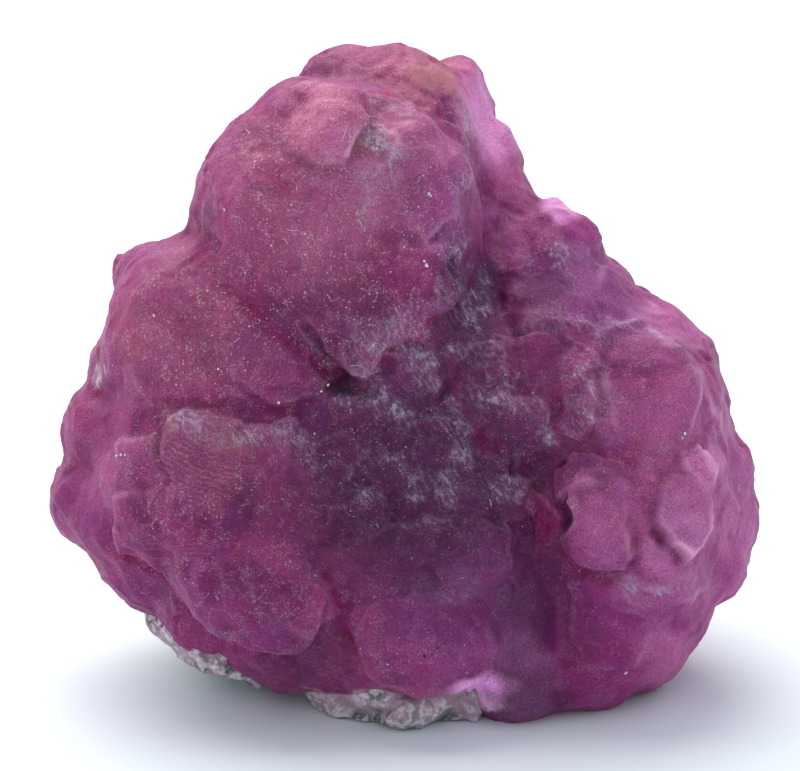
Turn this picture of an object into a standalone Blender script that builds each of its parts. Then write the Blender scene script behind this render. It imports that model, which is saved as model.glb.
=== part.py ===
"""A loose specimen of sphaerocobaltite: a lobed magenta crust on a piece of its host rock.

Metres, +Z up. The specimen rests on the cut underside of the rock, its display face towards -Y.
The origin is on the surface that it rests on, under the middle of its outline.

The lobes are placed in the display frame, in millimetres: across to the right, up the face and out
of it. That frame leans back from upright by DISPLAY_LEAN, about the front edge of the foot.
"""

import math
import random

import bmesh
import bpy
from mathutils import Matrix, Vector, noise

MM = 0.001
DISPLAY_LEAN = math.radians(20.0)
FOOT_FRONT_Y = -8.6 * MM

CLEARANCE = 0.3 * MM
CRUST_VOXEL = 0.30 * MM
CRUST_ROUNDING = 16
CRUST_TRIANGLES = 7400
ROCK_VOXEL = 0.45 * MM
ROCK_TRIANGLES = 1300
FACET_SEED = 27
# A lobe with this many flat faces is a block, whose faces cut deeper than those of a round lobe
BLOCK_FLATS = 4
BLOCK_CUT = 0.66
ROUND_CUT = 0.84

BACK_FOOT_Y = 4.4 * MM
BACK_LEAN = math.radians(11.0)
BACK_SWELL = 2.6 * MM
BACK_SWELL_SPAN = 7.0 * MM
BACK_GRAIN = 1.1 * MM
BACK_GRAIN_SPAN = 2.6 * MM

# name: centre (across, up, out), radii (across, up, out), turn in the face in degrees, flat faces
MASSES = {
    "heart": ((-2.7, 11.3, -3.4), (10.3, 9.5, 6.9), 0, 0),
    "right_mass": ((9.9, 11.3, -4.4), (5.4, 9.0, 6.4), 0, 0),
    "core": ((1.2, 13.8, -6.0), (12.5, 10.0, 6.3), 0, 0),
    "neck": ((-1.6, 18.0, -3.8), (6.6, 5.5, 5.2), 0, 0),
    "crown": ((-3.25, 22.8, -0.5), (6.5, 6.45, 6.0), 0, 0),
    "crown_back": ((-0.6, 26.0, -4.4), (4.4, 5.0, 5.4), 0, 0),
    "shoulder": ((2.3, 22.6, -6.2), (3.95, 4.85, 4.8), 0, 0),
    "valley_floor": ((5.8, 6.5, -3.4), (2.6, 6.0, 4.8), 0, 0),
    "lower_bed": ((-2.4, 5.8, -1.2), (8.4, 3.8, 4.1), -6, 0),
    "lower_right_bed": ((9.6, 6.0, -2.0), (4.6, 4.4, 4.6), 0, 0),
    "left_bed": ((-8.8, 14.6, -1.6), (4.6, 5.0, 4.8), 0, 0),
    "middle_bed": ((1.4, 13.6, -1.4), (6.8, 5.4, 4.9), 0, 0),
    "left_flank": ((-10.6, 14.0, -5.6), (3.9, 7.2, 4.2), 0, 0),
}

LOBES = {
    # Top edge, left to right
    "top_knob": ((-2.6, 29.2, -4.6), (2.2, 1.9, 2.4), 0, 1),
    "top_cap": ((-0.2, 28.8, -3.6), (2.5, 2.2, 2.9), 0, 2),
    "pale_blade_tip": ((2.9, 28.3, -6.0), (1.2, 2.5, 1.8), 10, 1),
    "pale_blade": ((4.1, 26.3, -6.4), (1.2, 2.3, 1.9), 22, 1),
    "shoulder_step": ((4.6, 22.8, -5.4), (1.9, 2.5, 2.8), 25, 1),
    "pale_bud": ((6.9, 23.5, -5.0), (0.62, 0.66, 1.0), 0, 1),
    # Upper right edge, down to the right hand bulge
    "edge_first": ((7.0, 21.4, -3.6), (2.2, 2.1, 3.4), 0, 1),
    "edge_second": ((8.8, 19.1, -4.0), (1.9, 1.75, 3.2), 0, 1),
    "edge_third": ((12.2, 16.5, -3.9), (2.25, 1.75, 3.4), 0, 1),
    "edge_fourth": ((13.4, 14.3, -4.2), (1.7, 1.9, 3.2), 0, 1),
    "edge_fifth": ((14.5, 11.6, -4.5), (1.6, 1.8, 3.0), 0, 1),
    "edge_sixth": ((14.8, 9.2, -4.5), (1.55, 1.8, 3.0), 0, 1),
    "edge_seventh": ((13.9, 7.2, -4.2), (1.95, 1.9, 3.2), 0, 1),
    # Right hand bulge
    "right_dome": ((11.3, 14.4, -1.2), (3.3, 3.4, 4.4), 0, 1),
    "right_inner": ((5.9, 16.8, -0.3), (1.9, 2.2, 3.2), 0, 2),
    "right_ridge": ((8.1, 14.9, -0.2), (1.7, 2.5, 3.3), -10, 3),
    "petal_bed": ((10.7, 9.8, -1.4), (4.4, 4.0, 4.4), 0, 1),
    "right_upper": ((7.4, 18.7, -2.2), (2.6, 2.0, 3.4), 0, 2),
    "petal_big": ((9.0, 9.5, 1.5), (2.1, 2.7, 3.0), -15, 4),
    "petal_top": ((8.3, 11.1, 1.8), (1.4, 1.1, 2.4), 0, 2),
    "petal_side": ((12.6, 9.4, 0.7), (1.7, 2.1, 3.0), 20, 4),
    "petal_lens": ((13.5, 11.7, -0.2), (1.1, 1.5, 2.6), 30, 1),
    "valley_blade": ((6.4, 9.3, 0.4), (0.8, 1.8, 2.8), 0, 1),
    "petal_ledge": ((11.3, 7.3, -0.4), (2.7, 1.5, 3.6), 15, 1),
    # Lower right
    "low_right": ((11.2, 5.6, -2.6), (2.9, 2.6, 4.2), 0, 1),
    "low_right_toe": ((10.7, 3.8, -3.0), (2.5, 2.5, 3.8), 0, 1),
    "low_right_front": ((8.4, 4.5, -0.6), (2.7, 2.6, 3.2), 0, 1),
    "low_toe": ((8.2, 2.4, -2.0), (2.9, 1.9, 3.2), 0, 0),
    "foot_tip": ((5.1, 1.5, -0.9), (2.4, 1.6, 2.4), 0, 1),
    # Bottom, right to left
    "bottom_tongue": ((1.0, 3.9, 1.3), (3.5, 2.4, 3.2), 0, 1),
    "bottom_mid": ((-2.3, 3.4, -0.8), (3.2, 2.0, 3.4), 0, 0),
    "bottom_left": ((-5.6, 4.0, -1.8), (3.1, 2.4, 3.8), -15, 0),
    "under_shell": ((-8.6, 5.3, -2.5), (3.2, 2.6, 3.8), -30, 0),
    "under_shell_left": ((-11.4, 7.2, -3.0), (2.9, 2.4, 3.6), -40, 0),
    "left_plate": ((-6.7, 6.3, 1.3), (3.8, 2.2, 3.4), -20, 3),
    # Left edge, bottom to top
    "left_point": ((-14.45, 10.2, -4.0), (1.85, 2.0, 3.0), 0, 0),
    "left_skirt": ((-12.7, 9.2, -2.4), (2.6, 2.2, 3.6), 0, 1),
    "left_cheek": ((-13.6, 13.4, -3.6), (2.15, 2.3, 3.2), 0, 0),
    "left_notch": ((-12.2, 16.3, -3.4), (1.9, 2.3, 3.4), 0, 0),
    "far_bud": ((-11.5, 20.2, -5.2), (1.85, 1.85, 2.8), 0, 0),
    # Left face
    "left_fan": ((-9.8, 10.9, -0.8), (4.2, 3.4, 5.3), 0, 1),
    "left_fan_ledge": ((-8.8, 13.0, -0.2), (3.2, 1.3, 4.6), -10, 2),
    "left_ball_side": ((-11.4, 16.6, -0.8), (2.2, 2.6, 3.8), 20, 2),
    "left_ball": ((-9.8, 18.1, -1.6), (3.7, 4.2, 4.8), 0, 0),
    "left_fold": ((-6.3, 17.0, 0.6), (3.4, 2.9, 3.8), -20, 1),
    # Middle, where small blocky crystals stand in ledges
    "mid_left": ((-4.9, 12.3, 0.6), (2.5, 2.2, 4.2), 0, 5),
    "mid_left_low": ((-5.6, 9.4, 0.6), (2.1, 1.8, 3.9), -15, 5),
    "mid_low_left": ((-3.0, 7.6, 0.8), (2.7, 1.9, 4.0), -10, 5),
    "mid_centre": ((-2.0, 12.9, 0.6), (2.0, 1.8, 3.7), 10, 5),
    "mid_centre_low": ((-2.3, 10.2, 0.8), (2.1, 1.7, 3.8), 0, 5),
    "mid_heart": ((0.8, 11.9, 0.6), (2.2, 1.7, 3.8), 15, 5),
    "mid_low": ((2.9, 7.6, 1.0), (2.7, 2.0, 3.8), 0, 5),
    "mid_low_step": ((0.2, 9.3, 0.8), (2.2, 1.6, 3.7), 15, 5),
    "mid_block": ((-0.2, 15.4, 0.0), (1.9, 1.6, 3.6), 0, 5),
    "mid_block_right": ((3.0, 16.2, 0.3), (1.9, 2.0, 3.6), 0, 5),
    "mid_scale": ((5.2, 13.7, 0.3), (1.8, 2.0, 3.2), -15, 4),
    "mid_step": ((2.6, 13.6, 0.8), (1.8, 1.5, 3.6), 20, 5),
    "mid_step_right": ((4.0, 10.6, 0.4), (1.9, 1.7, 3.5), 0, 5),
    "mid_beard": ((-3.6, 14.6, 0.2), (1.7, 1.3, 3.3), 0, 5),
    "valley_grain": ((2.9, 19.7, -1.8), (1.3, 1.6, 2.4), 0, 4),
    "valley_grain_top": ((4.6, 20.4, -2.8), (1.7, 1.9, 2.8), 0, 4),
    "slope_grain": ((5.3, 18.9, -1.6), (1.6, 1.5, 2.6), 0, 4),
    # Crown
    "crown_plate": ((-3.6, 26.3, 2.0), (2.4, 2.6, 3.2), -15, 4),
    "crown_brow": ((-0.3, 25.8, 1.6), (2.2, 2.3, 3.4), 20, 4),
    "crown_cheek": ((-6.4, 23.4, 1.9), (2.3, 3.0, 3.3), 10, 3),
    "crown_low": ((-2.8, 20.6, 2.0), (2.9, 2.3, 3.7), 0, 3),
    "crown_side": ((1.2, 22.4, 0.2), (2.4, 4.4, 4.4), 0, 3),
    "crown_foot": ((-6.9, 20.3, 0.4), (2.6, 2.6, 3.6), 0, 0),
    "crown_hem": ((0.9, 19.9, 0.4), (2.2, 2.2, 3.4), 0, 2),
    "crown_lip": ((-0.8, 19.4, 1.3), (2.9, 4.2, 4.0), -22, 3),
}

# Host rock, in millimetres from the origin: centre, radii, turn about Z in degrees
BOULDERS = {
    "keel": ((0.0, 1.6, 2.6), (7.6, 8.8, 5.6), 0),
    "back": ((0.6, 6.4, 9.8), (9.8, 5.2, 10.2), 8),
    "left_spur": ((-8.0, 1.6, 4.6), (3.6, 3.4, 3.0), 25),
    "left_corner": ((-8.0, -3.5, 2.85), (3.8, 3.5, 1.95), 0),
    "right_spur": ((6.8, 3.8, 5.0), (3.8, 4.4, 4.4), -20),
    "front_foot": ((-0.2, -5.0, 1.2), (4.6, 4.6, 1.9), 5),
}
BOULDER_CUTS = 9

COLOURS = {
    "sphaerocobaltite": (0.26, 0.06, 0.17),
    "matrix": (0.42, 0.44, 0.40),
}


def clear_scene():
    for obj in list(bpy.data.objects):
        bpy.data.objects.remove(obj)


def collection(name, hidden=False):
    made = bpy.data.collections.new(name)
    made.hide_render = hidden
    bpy.context.scene.collection.children.link(made)
    return made


def display_frame():
    """The display frame as a matrix: millimetres across, up and out become metres in the part's frame."""
    lean = Matrix.Rotation(-DISPLAY_LEAN, 4, "X")
    upright = Matrix(((1, 0, 0, 0), (0, 0, -1, 0), (0, 1, 0, 0), (0, 0, 0, 1)))
    foot = Matrix.Translation((0, FOOT_FRONT_Y, 0))
    return foot @ lean @ upright @ Matrix.Scale(MM, 4)


def cut_flat(bm, point, normal):
    """Slices a convex body with a plane and closes the slice with a flat face."""
    found = bmesh.ops.bisect_plane(
        bm, geom=bm.verts[:] + bm.edges[:] + bm.faces[:], plane_co=point, plane_no=normal, clear_outer=True
    )
    rim = [item for item in found["geom_cut"] if isinstance(item, bmesh.types.BMEdge)]
    if rim:
        bmesh.ops.holes_fill(bm, edges=rim)


def ball_mesh(name, matrix, cuts=(), subdivisions=4):
    """A ball of radius 1, with flat faces where cuts gives (direction, distance), placed by matrix."""
    bm = bmesh.new()
    bmesh.ops.create_icosphere(bm, subdivisions=subdivisions, radius=1.0)
    for direction, distance in cuts:
        cut_flat(bm, direction * distance, direction)
    bm.transform(matrix)
    bmesh.ops.recalc_face_normals(bm, faces=bm.faces[:])
    mesh = bpy.data.meshes.new(name)
    bm.to_mesh(mesh)
    bm.free()
    return mesh


def lobe_mesh(name, centre, radii, turn, flats, rng):
    """One lobe of the crust in the part's frame. Its flat faces look out of the display face."""
    cuts = []
    deepest = BLOCK_CUT if flats >= BLOCK_FLATS else ROUND_CUT
    for _ in range(flats):
        direction = Vector((rng.uniform(-0.9, 0.9), rng.uniform(-0.9, 0.9), rng.uniform(0.35, 1.0)))
        cuts.append((direction.normalized(), rng.uniform(deepest, 0.93)))
    place = Matrix.Translation(centre) @ Matrix.Rotation(math.radians(turn), 4, "Z")
    size = Matrix.Diagonal((*radii, 1.0))
    return ball_mesh(name, display_frame() @ place @ size, cuts)


def boulder_mesh(name, centre, radii, turn, rng):
    cuts = []
    for _ in range(BOULDER_CUTS):
        direction = Vector((rng.gauss(0, 1), rng.gauss(0, 1), rng.gauss(0, 1)))
        cuts.append((direction.normalized(), rng.uniform(0.72, 0.92)))
    place = Matrix.Translation(Vector(centre) * MM) @ Matrix.Rotation(math.radians(turn), 4, "Z")
    size = Matrix.Diagonal((*(radius * MM for radius in radii), 1.0))
    return ball_mesh(name, place @ size, cuts)


def joined(name, meshes, home):
    """One object holding all the meshes, whose union its Remesh modifier takes."""
    bm = bmesh.new()
    for mesh in meshes:
        bm.from_mesh(mesh)
        bpy.data.meshes.remove(mesh)
    merged = bpy.data.meshes.new(name)
    bm.to_mesh(merged)
    bm.free()
    obj = bpy.data.objects.new(name, merged)
    home.objects.link(obj)
    return obj


def add_remesh(obj, voxel):
    remesh = obj.modifiers.new("one skin", "REMESH")
    remesh.mode = "VOXEL"
    remesh.voxel_size = voxel


def add_rounding(obj, rounds):
    smooth = obj.modifiers.new("rounding", "SMOOTH")
    smooth.factor = 0.5
    smooth.iterations = rounds


def add_decimate(obj, triangles):
    """Brings the evaluated mesh down to about this many triangles."""
    bpy.context.view_layer.update()
    evaluated = obj.evaluated_get(bpy.context.evaluated_depsgraph_get())
    faces = len(evaluated.data.polygons) * 2
    decimate = obj.modifiers.new("facets", "DECIMATE")
    decimate.ratio = min(1.0, triangles / faces)


def add_cut(obj, cutter):
    cut = obj.modifiers.new(f"cut by {cutter.name}", "BOOLEAN")
    cut.operation = "DIFFERENCE"
    cut.object = cutter
    cut.solver = "EXACT"


def baked(obj):
    """Puts the evaluated mesh in place of the object's mesh and modifiers."""
    graph = bpy.context.evaluated_depsgraph_get()
    mesh = bpy.data.meshes.new_from_object(obj.evaluated_get(graph))
    obj.modifiers.clear()
    obj.data = mesh


def helper(obj):
    obj.hide_render = True
    obj.display_type = "WIRE"
    return obj


def box_cutter(name, low, high, home):
    bm = bmesh.new()
    size = Vector(high) - Vector(low)
    middle = (Vector(high) + Vector(low)) / 2
    bmesh.ops.create_cube(bm, size=1.0, matrix=Matrix.Translation(middle) @ Matrix.Diagonal((*size, 1.0)))
    mesh = bpy.data.meshes.new(name)
    bm.to_mesh(mesh)
    bm.free()
    obj = bpy.data.objects.new(name, mesh)
    home.objects.link(obj)
    return helper(obj)


def ground_cutter(home):
    reach = 60 * MM
    return box_cutter("below ground", (-reach, -reach, -reach), (reach, reach, 0.0), home)


def back_cutter(home):
    """All that lies behind the broken back of the crust, whose face leans back and swells gently."""
    bm = bmesh.new()
    reach = 30 * MM
    bmesh.ops.create_grid(bm, x_segments=44, y_segments=44, size=reach)
    for vert in bm.verts:
        vert.co.z = BACK_SWELL * noise.noise(vert.co / BACK_SWELL_SPAN)
        vert.co.z += BACK_GRAIN * noise.noise(vert.co / BACK_GRAIN_SPAN)
    lifted = bmesh.ops.extrude_face_region(bm, geom=bm.faces[:])
    for item in lifted["geom"]:
        if isinstance(item, bmesh.types.BMVert):
            item.co.z = reach
    face = Matrix.Rotation(-math.pi / 2 - BACK_LEAN, 4, "X")
    bm.transform(Matrix.Translation((0, BACK_FOOT_Y, 0)) @ face)
    bmesh.ops.recalc_face_normals(bm, faces=bm.faces[:])
    if bm.calc_volume(signed=True) < 0:
        bmesh.ops.reverse_faces(bm, faces=bm.faces[:])
    mesh = bpy.data.meshes.new("behind the break")
    bm.to_mesh(mesh)
    bm.free()
    obj = bpy.data.objects.new("behind the break", mesh)
    home.objects.link(obj)
    return helper(obj)


def matrix_rock(home, rng):
    meshes = [boulder_mesh(name, *values, rng) for name, values in BOULDERS.items()]
    rock = joined("matrix", meshes, home)
    add_remesh(rock, ROCK_VOXEL)
    add_rounding(rock, 2)
    add_decimate(rock, ROCK_TRIANGLES)
    baked(rock)
    return rock


def socket_cutter(rock, home):
    """The rock grown by the clearance, so that the crust keeps clear of it all round."""
    grown = bpy.data.objects.new("rock socket", rock.data.copy())
    home.objects.link(grown)
    grow = grown.modifiers.new("clearance", "DISPLACE")
    grow.mid_level = 0.0
    grow.strength = CLEARANCE
    baked(grown)
    return helper(grown)


def crust(home, cutters, rng):
    meshes = [lobe_mesh(name, *values, rng) for name, values in {**MASSES, **LOBES}.items()]
    body = joined("sphaerocobaltite", meshes, home)
    add_remesh(body, CRUST_VOXEL)
    add_rounding(body, CRUST_ROUNDING)
    add_decimate(body, CRUST_TRIANGLES)
    baked(body)
    for cutter in cutters:
        add_cut(body, cutter)
    return body


def finish(obj, colour):
    material = bpy.data.materials.new(obj.name)
    material.use_nodes = True
    shader = material.node_tree.nodes["Principled BSDF"]
    shader.inputs["Base Color"].default_value = (*colour, 1.0)
    shader.inputs["Roughness"].default_value = 0.5
    shader.inputs["Metallic"].default_value = 0.0
    obj.data.materials.clear()
    obj.data.materials.append(material)
    obj.data.shade_flat()


def main():
    clear_scene()
    parts = collection("sphaerocobaltite specimen")
    cutters = collection("cutters", hidden=True)
    rng = random.Random(FACET_SEED)
    ground = ground_cutter(cutters)
    back = back_cutter(cutters)
    rock = matrix_rock(parts, rng)
    socket = socket_cutter(rock, cutters)
    add_cut(rock, ground)
    body = crust(parts, (back, socket, ground), rng)
    for obj in (rock, body):
        finish(obj, COLOURS[obj.name])


main()
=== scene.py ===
"""The looks of the sphaerocobaltite specimen: fine relief, colour, dust and a pale studio."""

import math

import bmesh
import bpy
import numpy as np
from mathutils import Matrix, Vector, bvhtree, kdtree


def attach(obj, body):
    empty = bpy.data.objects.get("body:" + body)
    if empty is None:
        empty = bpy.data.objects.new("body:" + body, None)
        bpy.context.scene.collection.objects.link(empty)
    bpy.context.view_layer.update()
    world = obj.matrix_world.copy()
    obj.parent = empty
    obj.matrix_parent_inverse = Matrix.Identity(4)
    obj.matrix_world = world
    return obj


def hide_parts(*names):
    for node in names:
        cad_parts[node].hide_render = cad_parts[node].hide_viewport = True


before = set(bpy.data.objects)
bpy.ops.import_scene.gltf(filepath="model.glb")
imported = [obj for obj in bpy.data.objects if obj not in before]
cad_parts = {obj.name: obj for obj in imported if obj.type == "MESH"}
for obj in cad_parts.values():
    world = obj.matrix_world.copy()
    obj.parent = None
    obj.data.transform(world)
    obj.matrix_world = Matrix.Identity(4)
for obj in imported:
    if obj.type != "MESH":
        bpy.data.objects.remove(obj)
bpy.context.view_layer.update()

MM = 0.001
DISPLAY_LEAN = math.radians(20.0)
FOOT_FRONT_Y = -8.6
PHOTO_WIDTH = 36.16 * MM
CAMERA_DISTANCE = 0.30
AIM = (-0.18, 15.36, 0.0)

CRUST_VOXEL = 0.155 * MM
CRUST_TRIANGLES = 190000
ROCK_VOXEL = 0.30 * MM
CLEARANCE = 0.45

MELT_ROUNDS = 16
POINT_SPACING = 0.19
PLATE_EDGE = 0.13
ARC_CENTRE = (-6.0, 19.0)
ARC_SPACING = 0.24
# The width in millimetres of the band along plate edges where a highlight is painted
RIM_WIDTH = 0.20

# Dust on the crystals: how far apart its grid of cells is in millimetres, the inner and outer radius of a speck
# in cells, how rare the brightest ones are, and how white they get
SPECKS = (
    (0.29, 0.040, 0.170, 0.60, 1.2),
    (0.17, 0.100, 0.300, 0.50, 0.8),
)

# Places on the face are given across and up in the display frame, in millimetres. The face looks at the camera.

# Where the rounded lobes of the CAD sink into the face: centre, radii and how far
MELTS = {
    "whole face": ((0.0, 13.0), (15.0, 14.0), 0.35),
    "middle": ((0.7, 11.1), (7.4, 6.4), 1.0),
    "upper middle": ((2.6, 16.4), (5.5, 3.6), 0.9),
    "crown lip": ((-0.9, 18.9), (3.4, 3.8), 0.8),
    "crown foot": ((-6.0, 18.4), (3.2, 3.2), 0.8),
    "slope": ((7.4, 19.6), (4.5, 4.5), 0.8),
    "right dome": ((9.6, 14.6), (5.0, 4.0), 0.75),
    "petals": ((10.4, 9.8), (5.4, 4.4), 0.75),
    "lower right": ((9.0, 4.6), (5.0, 4.0), 0.6),
    "tongue": ((0.8, 4.6), (5.0, 3.6), 0.85),
    "left plate": ((-6.7, 6.3), (5.4, 3.8), 0.9),
    "fan": ((-9.0, 11.5), (5.4, 4.5), 0.75),
}

# Crystal plates that stand out of the face: corners, how far the plate stands out, and which of its sides
# stands out most, in degrees from the right
PLATES = {
    "crown plateau": (
        ((-5.5, 28.4), (-2.9, 28.8), (-2.3, 28.2), (-1.6, 27.0), (-2.2, 26.3), (-2.7, 25.0), (-3.9, 25.2), (-5.2, 25.6),
         (-6.1, 26.9)),
        0.50, -20,
    ),
    "crown patch": (((-1.9, 27.0), (0.0, 26.5), (-0.3, 25.3), (-1.3, 24.7), (-2.0, 25.3)), 0.22, 0),
    "crown scar": (((-7.1, 25.6), (-5.2, 25.5), (-5.1, 24.4), (-6.4, 24.1), (-7.2, 24.7)), 0.14, 180),
    "crown right plate": (((0.2, 27.8), (2.4, 27.0), (2.9, 24.7), (2.4, 22.9), (0.8, 21.6), (-0.6, 24.0)), 0.30, 0),
    "crown apron": (
        ((-4.5, 18.6), (-1.5, 21.6), (1.6, 21.8), (2.0, 19.9), (1.4, 18.5), (0.8, 17.5), (-0.9, 17.3), (-1.7, 15.6),
         (-2.3, 15.8)),
        0.85, -60,
    ),
    "left fold": (
        ((-7.4, 17.9), (-6.4, 19.2), (-4.7, 18.3), (-3.1, 16.3), (-3.5, 14.9), (-6.1, 14.5), (-7.4, 15.6)),
        0.40, -20,
    ),
    "left ball foot": (((-12.6, 17.0), (-8.0, 17.4), (-7.2, 14.9), (-9.0, 14.3), (-11.6, 14.4)), 0.16, -90),
    "fan ledge": (
        ((-10.9, 13.4), (-9.9, 14.2), (-8.0, 13.9), (-5.8, 13.6), (-4.7, 13.9), (-5.2, 11.6), (-7.6, 9.8),
         (-10.4, 9.6)),
        0.40, 100,
    ),
    "fan side": (((-12.9, 12.6), (-11.2, 13.4), (-10.8, 10.8), (-11.8, 8.8), (-13.2, 10.0)), 0.25, 30),
    "left sheet": (
        ((-12.9, 8.1), (-11.0, 7.4), (-10.4, 6.8), (-9.7, 5.7), (-8.1, 4.7), (-6.5, 3.8), (-4.4, 3.6), (-3.2, 6.5),
         (-6.0, 9.6), (-10.0, 10.9), (-12.7, 10.6)),
        0.70, -115,
    ),
    "left sheet step": (((-8.2, 8.4), (-5.4, 8.3), (-3.4, 6.6), (-2.9, 5.0), (-4.4, 4.4), (-6.4, 5.4)), 0.14, -60),
    "tongue": (
        ((-1.7, 5.4), (1.0, 6.3), (3.9, 5.4), (4.6, 3.6), (3.0, 1.7), (0.3, 1.6), (-1.6, 2.7), (-2.3, 4.2)),
        0.50, 235,
    ),
    "petal": (
        ((7.6, 10.8), (8.1, 11.5), (9.3, 11.7), (10.1, 10.9), (10.2, 9.8), (10.0, 9.0), (10.3, 7.8), (9.8, 7.1), (8.4, 7.3),
         (7.3, 7.8), (7.1, 8.6), (7.6, 9.2)),
        0.95, 215,
    ),
    "blade": (((5.7, 10.8), (6.4, 10.4), (7.2, 9.3), (7.0, 7.7), (5.9, 7.6), (5.6, 9.3)), 0.35, 160),
    "petal back": (((6.7, 11.5), (8.0, 12.1), (9.6, 12.0), (9.8, 11.2), (7.8, 10.6), (7.0, 10.2)), 0.50, 160),
    "wedge": (
        ((11.2, 9.6), (11.8, 8.6), (12.5, 7.4), (13.1, 8.4), (14.0, 10.0), (13.4, 11.3), (12.1, 11.4), (11.4, 10.6)),
        0.90, 225,
    ),
    "lens": (((12.4, 12.5), (13.2, 12.7), (14.0, 11.7), (14.2, 10.7), (13.3, 11.0), (12.6, 11.7)), 0.45, 90),
    "low ledge": (((9.1, 7.2), (11.1, 6.6), (13.6, 7.5), (13.9, 6.1), (11.1, 4.9), (9.5, 5.4)), 0.30, -90),
    "lower right": (((7.4, 6.6), (9.2, 7.2), (11.6, 4.6), (10.4, 2.6), (7.8, 2.4)), 0.30, 170),
    "right arc": (
        ((6.2, 18.2), (8.9, 18.0), (10.7, 18.3), (12.9, 16.3), (13.5, 15.1), (12.6, 12.6), (9.6, 12.4), (8.9, 16.0)),
        0.28, 80,
    ),
    "right rim plate": (((13.6, 17.6), (14.8, 14.8), (14.6, 12.4), (13.7, 14.8), (12.6, 16.8)), 0.14, 0),
    "column": (((6.9, 16.5), (7.7, 17.2), (8.9, 16.1), (8.6, 14.3), (8.0, 12.7), (7.2, 13.3), (7.0, 14.7)), 0.40, 180),
    "facet": (((4.9, 17.6), (7.0, 17.6), (6.8, 15.6), (5.6, 15.0)), 0.40, 180),
    "block right": (((3.9, 14.7), (5.7, 14.8), (6.5, 14.5), (6.4, 12.7), (5.2, 12.2), (4.1, 12.9)), 0.45, 60),
    "block upper": (((1.8, 17.2), (4.6, 17.0), (4.9, 14.9), (3.4, 14.3), (2.0, 15.2)), 0.40, 80),
    "block middle": (((-1.4, 16.9), (1.2, 17.0), (1.7, 15.2), (0.8, 13.6), (-1.6, 14.4)), 0.30, 90),
    "scale a": (((1.2, 11.5), (3.0, 11.8), (3.4, 10.6), (2.1, 10.0), (1.1, 10.4)), 0.35, 60),
    "scale b": (((3.9, 11.3), (5.9, 11.2), (5.6, 9.5), (4.3, 9.0)), 0.40, 45),
    "scale c": (((-3.3, 10.2), (-1.1, 10.6), (-0.2, 9.3), (-2.0, 8.1), (-3.6, 8.8)), 0.25, 70),
    "scale d": (((-0.2, 9.3), (2.1, 9.5), (3.0, 8.1), (1.2, 7.3), (-0.4, 7.9)), 0.35, 90),
    "scale e": (((-4.7, 12.4), (-2.4, 13.4), (-1.6, 12.0), (-3.0, 10.8), (-4.8, 11.3)), 0.30, 60),
    "scale f": (((0.0, 13.6), (1.8, 14.0), (2.6, 12.4), (1.0, 11.9), (-0.4, 12.6)), 0.30, 50),
    "scale g": (((2.8, 9.6), (4.6, 9.0), (4.8, 7.4), (3.2, 6.8), (2.4, 8.0)), 0.30, 80),
    "slope bump": (((6.2, 23.2), (8.2, 23.6), (9.0, 22.0), (8.0, 20.8), (6.4, 21.4)), 0.30, 60),
    "slope step": (((8.6, 21.0), (10.6, 20.6), (12.0, 18.6), (10.4, 18.8), (8.8, 19.4)), 0.25, 60),
}

# Creases between the lobes. Points along each, then its depth and its width
SEAMS = {
    "under the crown lip": (((-3.4, 16.3), (-2.4, 15.4), (-1.4, 15.1)), 0.55, 0.55),
    "crown and left ball": (((-9.5, 22.6), (-7.7, 20.8), (-6.5, 19.2), (-4.7, 17.6), (-3.0, 16.1)), 0.20, 0.80),
    "left ball and fan": (((-13.6, 15.2), (-11.2, 14.3), (-8.8, 14.4), (-4.7, 14.4), (-2.5, 14.8)), 0.12, 0.80),
    "long valley": (((6.0, 13.0), (6.0, 10.5), (5.6, 8.0), (5.7, 6.0), (6.3, 4.0)), 0.45, 0.90),
    "beside the blade": (((7.1, 11.0), (7.2, 9.2), (7.6, 7.6)), 0.45, 0.35),
    "pocket": (((11.3, 8.9), (11.5, 8.5)), 0.60, 0.45),
    "middle left": (((1.6, 17.2), (1.9, 15.4), (1.2, 13.8)), 0.20, 0.40),
    "middle right": (((3.8, 14.8), (4.0, 12.9), (3.4, 11.5)), 0.22, 0.40),
    "right slope": (((4.3, 22.4), (4.2, 19.7), (4.8, 17.8)), 0.40, 0.80),
    "beside the dome": (((9.3, 17.2), (9.1, 14.7), (8.4, 12.7)), 0.20, 0.50),
    "inside the right rim": (((13.4, 14.9), (14.1, 12.9), (14.3, 10.2), (13.9, 7.5), (13.4, 5.2)), 0.18, 0.80),
    "beside the tongue": (((-2.6, 6.2), (-3.0, 4.2), (-2.2, 2.6)), 0.30, 0.60),
}
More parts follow.
